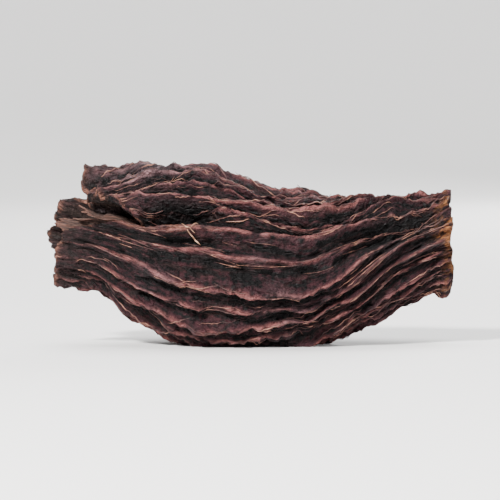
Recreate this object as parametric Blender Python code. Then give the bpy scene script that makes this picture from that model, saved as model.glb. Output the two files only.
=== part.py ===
"""A black cardamom pod, whole and dried, lying on its side on a small flat spot.

The pod is one solid. It starts as a UV sphere whose poles point along X, and a formula puts
each vertex in its place: a profile along the pod, a bent middle line, wandering ribs, splits
between the husk's valves, a torn mouth where the flower was and a dished scar where the stalk
broke off. The vertices lie in columns that run along the ribs, so each crest is a clean line.

Sizes are in millimetres, and MM turns them into Blender's metres. A place along the pod is a
share of its half length, from -1 at the tip of the mouth to 1 at the stalk scar. A place round
it is a rib line: whole numbers run along the crests of the ribs in RIBS, and halves along the
valleys between them. Angles are in degrees from the front (-Y) upwards: 90 is the top.
"""

import bmesh
import bpy
import numpy as np
from mathutils import noise

MM = 0.001
NAME = "cardamom_pod"

# Driving dimensions
LENGTH = 34.0
HALF_LENGTH = LENGTH / 2
WIDEST_RADIUS = 7.0
STALK_RADIUS = 3.1
FLAT_SPOT_CUT = 0.8

# Radius along the pod, as shares of its half length and of its widest radius
PROFILE = (
    (-1.00, 0.56),
    (-0.87, 0.53),
    (-0.76, 0.57),
    (-0.64, 0.70),
    (-0.48, 0.89),
    (-0.28, 1.00),
    (-0.04, 0.99),
    (0.20, 0.91),
    (0.44, 0.77),
    (0.66, 0.62),
    (0.84, 0.50),
    (1.00, STALK_RADIUS / WIDEST_RADIUS),
)
# Height of the middle line along the pod: both ends curl up from the belly
MIDDLE_HEIGHT = (
    (-1.0, 2.7),
    (-0.7, 1.8),
    (-0.4, 0.8),
    (-0.1, 0.0),
    (0.3, -0.2),
    (0.7, 0.6),
    (1.0, 1.8),
)
# Sideways swing of the middle line
MIDDLE_SWING = ((-1.0, -0.9), (-0.4, 0.3), (0.3, -0.2), (1.0, 0.8))
# Depth over height of the cross-section: the torn mouth is pressed flat from front to back
SQUEEZE = ((-1.0, 0.60), (-0.75, 0.70), (-0.5, 0.93), (-0.2, 1.0), (0.4, 1.0), (1.0, 0.9))

# Three seed chambers make the section a soft triangle
LOBES = 3
LOBE_SHARE = 0.035
LOBE_TURN = 40.0

# The ribs: the angle of each at the belly, and its height as a share of RIB_HEIGHT
RIBS = (
    (8.0, 0.35),
    (23.5, 0.85),
    (35.0, 0.40),
    (44.5, 0.95),
    (52.5, 0.40),
    (60.0, 0.80),
    (68.0, 0.60),
    (79.0, 0.40),
    (93.0, 0.90),
    (106.0, 0.50),
    (119.0, 0.95),
    (131.0, 0.40),
    (143.0, 0.80),
    (156.0, 1.00),
    (168.0, 0.45),
    (180.0, 0.85),
    (193.0, 0.60),
    (206.0, 1.00),
    (218.0, 0.45),
    (231.0, 0.85),
    (244.0, 0.50),
    (256.0, 0.70),
    (268.0, 0.45),
    (280.0, 0.65),
    (293.0, 0.90),
    (306.0, 0.50),
    (319.0, 1.00),
    (332.0, 0.55),
    (347.0, 0.80),
)
RIB_HEIGHT = 1.55
# However much it swells, no rib stands taller than this
RIB_LIMIT = 1.25
RIB_SHARPNESS = 2.0
RIB_ROUNDING = 0.04
# How tall the ribs stand along the pod
RIB_STRENGTH = (
    (-1.0, 0.3),
    (-0.72, 0.45),
    (-0.5, 0.9),
    (0.0, 1.0),
    (0.6, 1.0),
    (0.88, 0.6),
    (1.0, 0.2),
)
# Each rib swells and sinks along its length, over this many mm. The spread keeps one rib's
# swells unlike the next one's
SWELL_SIZE = 4.5
SWELL_SHARE = 0.8
SWELL_SPREAD = 7.3
# A rib leans over to one side or the other by up to this many degrees at its crest
LEAN = 9.0
LEAN_SIZE = 9.0
LEAN_SPREAD = 2.7
# The ribs stray from straight, and turn up round the pod towards the stalk
STRAY = 15.0
STRAY_SIZE = 11.0
TWIST = 44.0
TWIST_FROM, TWIST_TO = 0.2, 0.95

# Shrivelling: soft lumps and small knobs in the skin
LUMP_SIZE, LUMP_HEIGHT = 5.5, 0.75
KNOB_SIZE, KNOB_HEIGHT = 2.2, 0.35

# Sunken places: share along, rib line, half length, half width in ribs, depth
HOLLOWS = (
    (0.72, 0.0, 3.8, 1.1, 2.3),
    (-0.56, 0.35, 6.0, 0.5, 0.9),
    (0.36, 7.0, 4.2, 2.6, 0.9),
    (0.10, 14.0, 5.0, 2.0, 1.0),
    (-0.52, 12.5, 2.6, 1.8, 0.7),
    (0.55, 18.5, 3.6, 1.8, 0.8),
)

# Splits between the valves of the husk: the rib line each follows, and its depth along the pod
SPLITS = (
    (1.6, ((-0.62, 0.0), (-0.52, 2.0), (-0.40, 2.6), (-0.28, 2.2), (-0.12, 0.0))),
    (2.1, ((-0.54, 0.0), (-0.46, 1.3), (-0.34, 1.6), (-0.24, 1.1), (-0.12, 0.0))),
    (8.1, ((-0.90, 0.6), (-0.70, 2.0), (-0.50, 1.6), (-0.28, 0.0))),
    (15.5, ((-0.85, 0.0), (-0.70, 1.2), (-0.55, 0.0))),
)
# A split is one rib line wide at its top, narrower at its bottom, and gapes towards the mouth
SPLIT_HALF_WIDTH = 0.5
SPLIT_BOTTOM = 0.25
SPLIT_GAPE = 0.7
GAPE_FROM, GAPE_TO = -0.70, -0.36

# The torn edge of the mouth: how far along it is at rib lines round the pod. It runs back into
# a notch at the front, between the valves of the husk
TORN_EDGE = (
    (0.2, -0.82),
    (1.0, -0.66),
    (1.6, -0.51),
    (2.4, -0.61),
    (4.0, -0.71),
    (5.5, -0.78),
    (9.5, -0.82),
    (11.0, -0.76),
    (12.0, -0.92),
    (14.0, -1.00),
    (16.5, -0.97),
    (18.5, -0.86),
    (19.5, -0.79),
    (21.0, -0.90),
    (24.5, -0.96),
    (28.2, -0.95),
)
# The flap at the top stands up: its rib line, half width in ribs, and height at the torn edge
FLARE_LINE, FLARE_HALF_WIDTH, FLARE_HEIGHT = 9.7, 1.9, 2.3
FLARE_FROM, FLARE_TO = -0.80, -0.42
TEAR_SIZE, TEAR_LENGTH = 2.4, 0.9
# The husk thins to paper between these shares, and there it crumples in long folds
PAPER_FROM, PAPER_TO = -0.6, -0.9
CRUMPLE_SIZE, CRUMPLE_HEIGHT, CRUMPLE_STRETCH = 3.0, 1.0, 2.5
MOUTH_WALL = 0.8
MOUTH_FLOOR = -0.66
MOUTH_TAPER = 0.45
LEAST_MOUTH_RADIUS = 0.3

# The stalk scar: a raised collar round a dished, ragged end
COLLAR_HEIGHT = 0.45
COLLAR_AT = 0.955
COLLAR_HALF_WIDTH = 0.045
SCAR_DEPTH = 1.3
SCAR_RIM_SHARE = 0.6
SCAR_RAGGED_SIZE, SCAR_RAGGED = 2.0, 0.9

# Where each kind of noise is read, so that no two of them look alike
STRAY_SEED, LEAN_SEED, SWELL_SEED = 3.7, 5.0, 20.0
LUMP_SEED, KNOB_SEED, CRUMPLE_SEED = 41.0, 57.0, 83.0
TEAR_SEED, SCAR_SEED = 95.0, 71.0

# The mesh: columns of vertices for each rib, and rings from the mouth's floor to the scar
COLUMNS_PER_RIB = 4
RINGS = 50
MOUTH_RINGS = 4
SCAR_RINGS = 4

HUSK_COLOUR = (0.115, 0.048, 0.036, 1.0)
HUSK_ROUGHNESS = 0.72


def along(points, share):
    """A smooth curve through (share along the pod, value) points, read at each share."""
    at = np.array([point[0] for point in points])
    value = np.array([point[1] for point in points])
    slope = np.gradient(value, at)
    right = np.clip(np.searchsorted(at, share), 1, len(at) - 1)
    left = right - 1
    step = at[right] - at[left]
    t = np.clip((share - at[left]) / step, 0.0, 1.0)
    return (
        value[left] * (1 + 2 * t) * (1 - t) ** 2
        + value[right] * t**2 * (3 - 2 * t)
        + slope[left] * step * t * (1 - t) ** 2
        - slope[right] * step * t**2 * (1 - t)
    )


def ease(low, high, value):
    """0 below low, 1 above high, and smooth between."""
    t = np.clip((value - low) / (high - low), 0.0, 1.0)
    return t * t * (3 - 2 * t)


def ribs_between(line, middle):
    """How many ribs a rib line lies past a middle one, the short way round the pod."""
    half_way = len(RIBS) / 2
    return (line - middle + half_way) % len(RIBS) - half_way


def grain(share, angle, size, seed):
    """Smooth noise from about -1 to 1 that closes up round the pod, its features size mm across."""
    turn = np.radians(angle)
    x = share * HALF_LENGTH / size + seed
    y = np.cos(turn) * WIDEST_RADIUS / size
    z = np.sin(turn) * WIDEST_RADIUS / size
    return np.array([noise.noise(point) for point in np.stack((x, y, z), axis=1)])


def rib_waves(share, line, size, spread, seed):
    """Smooth noise along each rib, its waves size mm long and different on every rib."""
    number = np.round(line) % len(RIBS)
    places = np.stack((share * HALF_LENGTH / size, number * spread, np.full_like(share, seed)), axis=1)
    return np.array([noise.noise(place) for place in places])


def flank(share, line):
    """How far up its rib a point lies, from 0 in the valley to 1 on the crest of a full-height rib."""
    off_crest = np.sqrt(ribs_between(line, np.round(line)) ** 2 + RIB_ROUNDING**2)
    return np.clip(1.0 - 2.0 * off_crest, 0.0, 1.0) ** RIB_SHARPNESS * along(RIB_STRENGTH, share)


def angle_at(share, line):
    """The angle of a point on a rib line."""
    angles = [rib[0] for rib in RIBS] + [RIBS[0][0] + 360.0]
    straight = np.interp(line % len(RIBS), range(len(RIBS) + 1), angles)
    stray = STRAY * grain(share, straight, STRAY_SIZE, STRAY_SEED)
    lean = LEAN * rib_waves(share, line, LEAN_SIZE, LEAN_SPREAD, LEAN_SEED) * flank(share, line)
    return straight + stray + lean + TWIST * ease(TWIST_FROM, TWIST_TO, share)


def ribs(share, line):
    """Height of the ribs over the valleys between them, in mm."""
    tall = np.array([rib[1] for rib in RIBS])[np.round(line).astype(int) % len(RIBS)]
    swell = 1.0 + SWELL_SHARE * rib_waves(share, line, SWELL_SIZE, SWELL_SPREAD, SWELL_SEED)
    height = RIB_HEIGHT * tall * swell * flank(share, line)
    return height / np.cbrt(1.0 + (height / RIB_LIMIT) ** 3)


def hollows(share, line):
    """How far the skin has sunk in, in mm."""
    depth = np.zeros_like(share)
    for at, middle, half_length, half_width, deep in HOLLOWS:
        lengthways = (share - at) * HALF_LENGTH / half_length
        sideways = ribs_between(line, middle) / half_width
        depth += deep * np.exp(-(lengthways**2) - sideways**2)
    return depth


def splits(share, line):
    """Depth of the splits between the valves, in mm."""
    depth = np.zeros_like(share)
    for middle, depths in SPLITS:
        inside = (share > depths[0][0]) & (share < depths[-1][0])
        half_width = SPLIT_HALF_WIDTH + SPLIT_GAPE * (1.0 - ease(GAPE_FROM, GAPE_TO, share))
        wall = 1.0 - ease(SPLIT_BOTTOM, 1.0, np.abs(ribs_between(line, middle)) / half_width)
        depth += np.where(inside, np.maximum(along(depths, share), 0.0), 0.0) * wall
    return depth


def skin_radius(share, line):
    """Distance of the skin from the middle line, in mm."""
    angle = angle_at(share, line)
    base = WIDEST_RADIUS * along(PROFILE, share)
    base = base * (1 + LOBE_SHARE * np.cos(LOBES * np.radians(angle - LOBE_TURN)))
    soft = LUMP_HEIGHT * grain(share, angle, LUMP_SIZE, LUMP_SEED)
    soft += KNOB_HEIGHT * grain(share, angle, KNOB_SIZE, KNOB_SEED)
    crumple = CRUMPLE_HEIGHT * grain(share / CRUMPLE_STRETCH, angle, CRUMPLE_SIZE, CRUMPLE_SEED)
    papery = 1.0 - ease(PAPER_TO, PAPER_FROM, share)
    flare = FLARE_HEIGHT * np.exp(-((ribs_between(line, FLARE_LINE) / FLARE_HALF_WIDTH) ** 2))
    flare = flare * (1.0 - ease(FLARE_FROM, FLARE_TO, share))
    collar = COLLAR_HEIGHT * np.exp(-(((share - COLLAR_AT) / COLLAR_HALF_WIDTH) ** 2))
    relief = ribs(share, line) - hollows(share, line) - splits(share, line)
    return base + relief + collar + flare + soft * (1.0 - papery) + crumple * papery


def in_place(share, line, radius):
    """Points of the pod in mm, from the place along it, the rib line and the radius."""
    turn = np.radians(angle_at(share, line))
    x = share * HALF_LENGTH
    y = along(MIDDLE_SWING, share) - radius * np.cos(turn) * along(SQUEEZE, share)
    z = along(MIDDLE_HEIGHT, share) + radius * np.sin(turn)
    return np.stack((x, y, z), axis=1)


def mouth_rim(line):
    """Where the torn edge of the mouth is on each rib line, as a share along the pod."""
    lines, shares = zip(*TORN_EDGE)
    edge = np.interp(line, lines, shares, period=len(RIBS))
    tear = TEAR_LENGTH / HALF_LENGTH * grain(edge * 0.0, angle_at(edge, line), TEAR_SIZE, TEAR_SEED)
    return np.maximum(edge + tear, -1.0)


def scar_rim(line):
    """Where the broken edge of the stalk scar is on each rib line, as a share along the pod."""
    at = np.ones_like(line)
    ragged = 0.5 + 0.5 * grain(at, angle_at(at, line), SCAR_RAGGED_SIZE, SCAR_SEED)
    return at - SCAR_RAGGED / HALF_LENGTH * ragged


def inside_mouth(rim, line, inward):
    """Share along and radius of the mouth's inner face, inward from 0 at its rim to 1 at its floor."""
    share = rim + (MOUTH_FLOOR - rim) * inward
    turn = np.radians(angle_at(share, line))
    wall = MOUTH_WALL * np.hypot(np.cos(turn) / along(SQUEEZE, share), np.sin(turn))
    radius = (skin_radius(share, line) - wall) * (1.0 - MOUTH_TAPER * inward)
    return share, np.maximum(radius, LEAST_MOUTH_RADIUS)


def pod_points(ring, line):
    """Points of the pod for a ring number, 0 at the mouth's floor and RINGS in the scar."""
    rim = mouth_rim(line)
    end = scar_rim(line)

    # The outside runs from the torn rim to the collar
    last = RINGS - SCAR_RINGS
    t = np.clip((ring - MOUTH_RINGS) / (last - MOUTH_RINGS), 0.0, 1.0)
    share = rim + (end - rim) * t
    radius = skin_radius(share, line)

    # The first rings line the mouth behind its blunt torn edge, and the pole is the middle of its floor
    inward = np.clip((MOUTH_RINGS - 1 - ring) / (MOUTH_RINGS - 2), 0.0, 1.0)
    mouth_share, mouth_radius = inside_mouth(rim, line, inward)
    share = np.where(ring < MOUTH_RINGS, mouth_share, share)
    radius = np.where(ring < MOUTH_RINGS, np.where(ring == 0, 0.0, mouth_radius), radius)

    # The last rings are the scar, a shallow dish that smooths out towards its middle
    dish = np.clip((ring - last) / SCAR_RINGS, 0.0, 1.0)
    smooth = ease(0.0, SCAR_RIM_SHARE, dish)
    share = share + (1.0 - SCAR_DEPTH / HALF_LENGTH - share) * smooth
    radius = (radius + (STALK_RADIUS - radius) * smooth) * (1.0 - dish)
    return in_place(share, line, radius)


def set_down(points):
    """Stands the pod on z = 0, its underside pressed flat, with its box centred on the Z axis."""
    placed = points.copy()
    placed[:, 2] = np.maximum(placed[:, 2] - placed[:, 2].min() - FLAT_SPOT_CUT, 0.0)
    middle = (placed.min(axis=0) + placed.max(axis=0)) / 2
    placed[:, :2] -= middle[:2]
    return placed


def pod_mesh():
    """The pod as a UV sphere with every vertex moved into place."""
    mesh = bpy.data.meshes.new(NAME)
    shape = bmesh.new()
    columns = COLUMNS_PER_RIB * len(RIBS)
    bmesh.ops.create_uvsphere(shape, u_segments=columns, v_segments=RINGS, radius=1.0)
    sphere = np.array([vertex.co for vertex in shape.verts])
    ring = np.round(np.arccos(np.clip(sphere[:, 2], -1.0, 1.0)) / np.pi * RINGS)
    column = np.round(np.arctan2(sphere[:, 1], sphere[:, 0]) / (2 * np.pi) * columns)
    line = column / COLUMNS_PER_RIB % len(RIBS)
    for vertex, point in zip(shape.verts, set_down(pod_points(ring, line))):
        vertex.co = point * MM
    bmesh.ops.triangulate(shape, faces=shape.faces)
    bmesh.ops.recalc_face_normals(shape, faces=shape.faces)
    shape.to_mesh(mesh)
    shape.free()
    mesh.shade_smooth()
    return mesh


def husk_material():
    """Dry, reddish-brown, nearly matt husk."""
    material = bpy.data.materials.new("husk")
    material.use_nodes = True
    shader = material.node_tree.nodes["Principled BSDF"]
    shader.inputs["Base Color"].default_value = HUSK_COLOUR
    shader.inputs["Roughness"].default_value = HUSK_ROUGHNESS
    shader.inputs["Metallic"].default_value = 0.0
    return material


def clear_scene():
    for thing in list(bpy.data.objects):
        bpy.data.objects.remove(thing)


def main():
    clear_scene()
    collection = bpy.data.collections.new("black_cardamom_pod")
    bpy.context.scene.collection.children.link(collection)
    pod = bpy.data.objects.new(NAME, pod_mesh())
    pod.data.materials.append(husk_material())
    collection.objects.link(pod)


main()
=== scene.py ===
# %% [markdown]
# # A dried black cardamom pod
#
# A black cardamom pod is a fruit about as long as a thumb joint. As it dries, often over smoke,
# its thick husk shrinks onto the seeds and gathers into ribs. One end keeps the torn papery rest
# of the flower, the other the scar of the stalk, and the husk often splits between its valves.
#
# The lesson dresses a plain solid of the pod, which comes in as a fixed frame. The pod is grown by
# formulas, in millimetres, and then set down in the frame's place.

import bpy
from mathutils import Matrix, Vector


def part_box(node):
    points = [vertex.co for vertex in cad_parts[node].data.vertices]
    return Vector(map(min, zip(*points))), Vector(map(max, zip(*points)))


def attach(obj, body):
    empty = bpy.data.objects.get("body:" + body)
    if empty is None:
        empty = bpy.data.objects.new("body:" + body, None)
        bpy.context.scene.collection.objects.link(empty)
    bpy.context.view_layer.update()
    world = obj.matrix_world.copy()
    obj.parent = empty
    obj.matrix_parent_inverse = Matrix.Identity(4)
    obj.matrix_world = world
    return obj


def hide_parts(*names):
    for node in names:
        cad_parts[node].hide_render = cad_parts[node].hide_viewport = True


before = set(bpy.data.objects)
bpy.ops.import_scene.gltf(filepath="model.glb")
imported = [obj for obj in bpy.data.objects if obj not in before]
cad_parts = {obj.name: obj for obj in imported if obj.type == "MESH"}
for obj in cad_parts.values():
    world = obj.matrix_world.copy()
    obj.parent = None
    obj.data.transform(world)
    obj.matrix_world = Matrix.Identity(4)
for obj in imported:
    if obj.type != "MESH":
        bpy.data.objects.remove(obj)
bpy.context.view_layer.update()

# %% [markdown]
# ## Units and three small curves
#
# Shapes are worked out in millimetres and turned into metres at the last step, because a rib 1.3
# high is easier to picture than one 0.0013 high. A profile could be drawn as a Bezier curve
# by hand. Here it is a short table and a smooth curve through it, which stays easy to change.

# %% Curves through tables
import math
import random

import bpy
import numpy as np
from mathutils import Vector, noise

MM = 0.001


def along(points, share):
    """A smooth curve through (share along the pod, value) points, read at each share."""
    at = np.array([point[0] for point in points])
    value = np.array([point[1] for point in points])
    slope = np.gradient(value, at)
    right = np.clip(np.searchsorted(at, share), 1, len(at) - 1)
    left = right - 1
    step = at[right] - at[left]
    t = np.clip((share - at[left]) / step, 0.0, 1.0)
    return (
        value[left] * (1 + 2 * t) * (1 - t) ** 2
        + value[right] * t**2 * (3 - 2 * t)
        + slope[left] * step * t * (1 - t) ** 2
        - slope[right] * step * t**2 * (1 - t)
    )


def ease(low, high, value):
    """0 below low, 1 above high, and smooth between."""
    t = np.clip((value - low) / (high - low), 0.0, 1.0)
    return t * t * (3 - 2 * t)


def window(value, rise, fall):
    """1 between two slopes and 0 outside them: rise and fall are each (from, to)."""
    return ease(*rise, value) * (1.0 - ease(*fall, value))


print("halfway up an ease:", float(ease(0.0, 1.0, np.array(0.5))))

# %% [markdown]
# ## The body of the pod
#
# Cut across, the pod is nearly round; cut along, it is a spindle with its belly nearer the torn
# end. Both ends curl up a little. A turned profile (the Screw modifier) would give a perfect
# vase, so the body is a radius for each place along and round the pod instead, which the ribs
# and wrinkles can be added to. A place along it is a share of its half length, from -1 to 1.

# %% Profile, middle line and section
LENGTH = 34.0
HALF_LENGTH = LENGTH / 2
WIDEST_RADIUS = 7.0
STALK_RADIUS = 3.1

# Share along the pod, and the radius there as a share of the widest
PROFILE = (
    (-1.00, 0.56),
    (-0.87, 0.53),
    (-0.76, 0.57),
    (-0.64, 0.70),
    (-0.48, 0.89),
    (-0.28, 1.00),
    (-0.04, 0.99),
    (0.20, 0.91),
    (0.44, 0.77),
    (0.66, 0.62),
    (0.84, 0.50),
    (1.00, STALK_RADIUS / WIDEST_RADIUS),
)

# How far the middle line runs up and to the back, in mm, and how deep the pod is for its height
MIDDLE_HEIGHT = ((-1.0, 2.7), (-0.7, 1.8), (-0.4, 0.8), (-0.1, 0.0), (0.3, -0.2), (0.7, 0.6), (1.0, 1.8))
MIDDLE_SWING = ((-1.0, -0.9), (-0.4, 0.3), (0.3, -0.2), (1.0, 0.8))
SQUEEZE = ((-1.0, 0.60), (-0.75, 0.70), (-0.5, 0.93), (-0.2, 1.0), (0.4, 1.0), (1.0, 0.9))
LOBES, LOBE_SHARE, LOBE_TURN = 3, 0.035, 40.0
print("radius at the belly:", WIDEST_RADIUS, "mm, at the stalk:", STALK_RADIUS, "mm")

# %% [markdown]
# ## Noise for everything that grew
#
# Nothing on a dried fruit repeats. Blender's own noise gives smooth random waves, the same ones
# each run. Read on a cylinder round the pod's middle line, it closes up with no seam. A seed is
# only another place in the same noise, so two features with two seeds don't follow each other.

# %% Noise on the pod
def waves(x, y, z):
    """Smooth noise, about -1 to 1, at places given as arrays of x, y and z."""
    x, y, z = np.broadcast_arrays(x, y, z)
    places = np.stack((x, y, z), axis=-1).reshape(-1, 3).tolist()
    return np.array([noise.noise(place) for place in places]).reshape(x.shape)


def grain(share, angle, size, seed):
    """Noise on the skin, its features size mm across."""
    turn = np.radians(angle)
    across = WIDEST_RADIUS / size
    return waves(share * HALF_LENGTH / size + seed, np.cos(turn) * across, np.sin(turn) * across)


sample = grain(share=0.1, angle=20.0, size=5.5, seed=41.0)
print("a sample of noise:", round(float(sample), 3))

# %% [markdown]
# ## The ribs
#
# The ribs are what makes the pod known at a glance. They could be sculpted, or pushed out by a
# displacement image, but then the mesh lines would cut across them and leave steps. Here the
# mesh lines will run along the ribs, which a table places one by one: each rib's angle at the
# belly, from the front upwards, and its height.

# %% Table of ribs
RIBS = (
    # angle in degrees, height as a share
    (8.0, 0.35),
    (23.5, 0.85),
    (35.0, 0.40),
    (44.5, 0.95),
    (52.5, 0.40),
    (60.0, 0.80),
    (68.0, 0.60),
    (79.0, 0.40),
    (93.0, 0.90),
    (106.0, 0.50),
    (119.0, 0.95),
    (131.0, 0.40),
    (143.0, 0.80),
    (156.0, 1.00),
    (168.0, 0.45),
    (180.0, 0.85),
    (193.0, 0.60),
    (206.0, 1.00),
    (218.0, 0.45),
    (231.0, 0.85),
    (244.0, 0.50),
    (256.0, 0.70),
    (268.0, 0.45),
    (280.0, 0.65),
    (293.0, 0.90),
    (306.0, 0.50),
    (319.0, 1.00),
    (332.0, 0.55),
    (347.0, 0.80),
)
RIB_COUNT = len(RIBS)
rib_gap = 2 * math.pi * WIDEST_RADIUS / RIB_COUNT
print(RIB_COUNT, "ribs, on average", round(rib_gap, 2), "mm apart at the belly")

# %% [markdown]
# ## Rib lines
#
# A place round the pod is given as a rib line, whole numbers being crests and halves the valleys
# between. Plain angles would be simpler, but the ribs stray from straight and turn up towards the
# stalk, and everything that is placed on a rib line strays and turns with it.

# %% Rib lines
STRAY, STRAY_SIZE, STRAY_SEED = 15.0, 11.0, 3.7
TWIST, TWIST_FROM, TWIST_TO = 44.0, 0.2, 0.95


def ribs_between(line, middle):
    """How many ribs a rib line lies past a middle one, the short way round the pod."""
    return (line - middle + RIB_COUNT / 2) % RIB_COUNT - RIB_COUNT / 2


def near_line(line, middle, half_width):
    """1 on a middle rib line, falling off smoothly within so many ribs to either side."""
    return np.exp(-((ribs_between(line, middle) / half_width) ** 2))


def angle_at(share, line):
    """The angle of a point on a rib line, in degrees from the front upwards."""
    angles = [rib[0] for rib in RIBS] + [RIBS[0][0] + 360.0]
    straight = np.interp(line % RIB_COUNT, range(RIB_COUNT + 1), angles)
    stray = STRAY * grain(share, straight, STRAY_SIZE, STRAY_SEED)
    return straight + stray + TWIST * ease(TWIST_FROM, TWIST_TO, share)


crest = np.array([1.0])
print("rib 1 lies at", angle_at(0.0, crest).round(1), "degrees at the belly,", end=" ")
print(angle_at(TWIST_TO, crest).round(1), "by the stalk")

# %% [markdown]
# ## Rib crests
#
# A rib is a thin fin of dried husk, so its flanks rise to a narrow crest. Each rib swells and
# sinks along its length, and close up its crest is lumpy and wanders a little from side to side.
# A fin that stood too tall would have broken off, so a limit holds the highest of them down.
# A bevelled curve for each rib would be quick, but would lie on the husk like a wire.

# %% Rib height
RIB_HEIGHT, RIB_LIMIT = 1.55, 1.25
RIB_SHARPNESS, RIB_ROUNDING = 2.0, 0.04
RIB_STRENGTH = ((-1.0, 0.3), (-0.72, 0.45), (-0.5, 0.9), (0.0, 1.0), (0.6, 1.0), (0.88, 0.6), (1.0, 0.2))
SWELL_SHARE, CREST_LUMP_SHARE = 0.8, 0.28
CREST_WANDER, LEAN = 0.20, 9.0

# Noise along the ribs: feature size in mm, step in the noise from rib to rib, seed
SWELL_NOISE = (4.5, 7.3, 20.0)
CREST_LUMP_NOISE = (1.3, 3.1, 47.0)
WANDER_NOISE = (2.6, 5.9, 63.0)
LEAN_NOISE = (9.0, 2.7, 5.0)


def rib_of(line):
    """The number of the rib that a rib line belongs to."""
    return np.round(line).astype(int) % RIB_COUNT


def rib_noise(share, line, size, apart, seed):
    """Noise that runs along the ribs and is a different one on each."""
    return waves(share * HALF_LENGTH / size, rib_of(line) * apart, seed)


def flank_of(share, line):
    """How far up its rib's flank a point lies, from 0 in the valley to 1 on the crest."""
    off = ribs_between(line, rib_of(line))
    wander = CREST_WANDER * rib_noise(share, line, *WANDER_NOISE)
    off = off + wander * (1.0 - 4.0 * off**2)
    return np.clip(1.0 - 2.0 * np.sqrt(off**2 + RIB_ROUNDING**2), 0.0, 1.0) ** RIB_SHARPNESS


def lean_of(share, line):
    """How many degrees a rib leans over at its crest: fins of dry husk flop to one side."""
    side = rib_noise(share, line, *LEAN_NOISE)
    return LEAN * side * flank_of(share, line) * along(RIB_STRENGTH, share)


def rib_relief(share, line):
    """Height of the ribs over the valleys between them, in mm."""
    tall = np.array([rib[1] for rib in RIBS])[rib_of(line)]
    swell = 1.0 + SWELL_SHARE * rib_noise(share, line, *SWELL_NOISE)
    lumpy = 1.0 + CREST_LUMP_SHARE * rib_noise(share, line, *CREST_LUMP_NOISE)
    height = RIB_HEIGHT * tall * swell * lumpy * flank_of(share, line) * along(RIB_STRENGTH, share)
    return height / np.cbrt(1.0 + (height / RIB_LIMIT) ** 3)


print("no rib is taller than", RIB_LIMIT, "mm")

# %% [markdown]
# ## Splits and hollows
#
# The husk is made of valves that come apart at the torn end. The long split at the front gapes,
# with a thick lumpy rib as its upper lip. The sunken places are where the husk has shrunk into
# gaps between the seeds. A Boolean could cut them, but would leave sharp edges and stray faces.
# Each is taken from the radius instead, so the mesh lines still follow it.

# %% Splits and hollows
HOLLOWS = (
    # share along, rib line, half length in mm, half width in ribs, depth in mm
    (0.72, 0.0, 3.8, 1.1, 2.3),
    (-0.56, 0.35, 6.0, 0.5, 0.9),
    (0.36, 7.0, 4.2, 2.6, 0.9),
    (0.10, 14.0, 5.0, 2.0, 1.0),
    (-0.52, 12.5, 2.6, 1.8, 0.7),
    (0.55, 18.5, 3.6, 1.8, 0.8),
    (0.06, 8.0, 2.6, 2.6, 0.75),
)
SPLITS = (
    # rib line, then share along and depth in mm from end to end
    (1.6, ((-0.62, 0.0), (-0.52, 2.0), (-0.40, 2.6), (-0.28, 2.2), (-0.12, 0.0))),
    (2.1, ((-0.54, 0.0), (-0.46, 1.3), (-0.34, 1.6), (-0.24, 1.1), (-0.12, 0.0))),
    (8.1, ((-0.90, 0.6), (-0.70, 2.0), (-0.50, 1.6), (-0.28, 0.0))),
    (15.5, ((-0.85, 0.0), (-0.70, 1.2), (-0.55, 0.0))),
)
SPLIT_HALF_WIDTH, SPLIT_FLOOR = 0.5, 0.25
SPLIT_GAPE, GAPE_ENDS = 0.7, (-0.70, -0.36)


def hollow_depth(share, line):
    """How far the skin has sunk in, in mm."""
    depth = 0.0
    for at, middle, half_length, half_width, deep in HOLLOWS:
        lengthways = (share - at) * HALF_LENGTH / half_length
        sideways = ribs_between(line, middle) / half_width
        depth = depth + deep * np.exp(-(lengthways**2) - sideways**2)
    return depth


def split_depth(share, line):
    """Depth of the splits between the valves, in mm: each is a rib line wide, and gapes at the mouth."""
    depth = 0.0
    for middle, depths in SPLITS:
        inside = (share > depths[0][0]) & (share < depths[-1][0])
        half_width = SPLIT_HALF_WIDTH + SPLIT_GAPE * (1.0 - ease(*GAPE_ENDS, share))
        wall = 1.0 - ease(SPLIT_FLOOR, 1.0, np.abs(ribs_between(line, middle)) / half_width)
        depth = depth + np.where(inside, np.maximum(along(depths, share), 0.0), 0.0) * wall
    return depth


print(len(SPLITS), "splits, the deepest", max(step[1] for split in SPLITS for step in split[1]), "mm")

# %% [markdown]
# ## Fibres and puckers
#
# Between the ribs the husk is full of fine fibres that run lengthways, crossed by the puckers
# that drying gives. Both are low relief, so they could be left to a bump map. Making them in the
# mesh as well gives real shadows in low light and a true edge against the background. Each layer
# is a fold of noise, thin ridges where the waves cross zero. It is measured from its mean, so it
# leaves the pod as thick as it was.

# %% Fine relief
FINE_LAYERS = {
    # width round the pod and length along it in mm, place in the noise, height in mm
    "fibres": (0.72, 4.5, 0.0, 0.75),
    "hairs": (0.32, 1.8, 5.0, 0.34),
    "crinkles": (1.0, 1.3, 17.0, 0.50),
    "puckers": (0.45, 0.55, 11.0, 0.36),
}
MEAN_WAVE = 0.2


def fine_relief(share, line):
    """Fibres that run along the pod, and puckers across it, in mm."""
    turn = 2 * math.pi * line / RIB_COUNT
    relief = 0.0
    for width, length, shift, height in FINE_LAYERS.values():
        y = np.cos(turn) * WIDEST_RADIUS / width
        z = np.sin(turn) * WIDEST_RADIUS / width
        relief = relief + height * (MEAN_WAVE - np.abs(waves(share * HALF_LENGTH / length + shift, y, z)))
    return relief


for title, (width, length, _, height) in FINE_LAYERS.items():
    print(title, width, "mm wide,", length, "mm long, up to", height, "mm high")

# %% [markdown]
# ## The skin
#
# The skin's radius is the sum of all this: body, lumps, ribs, fine relief, and the collar that
# stands round the stalk scar, less the hollows and the splits. At the torn end the husk is thin
# as paper: it crumples instead of swelling, and its top flap flares up. Sculpting would give one
# pod. A sum of named parts gives one in which each part can still be changed by itself.

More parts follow.
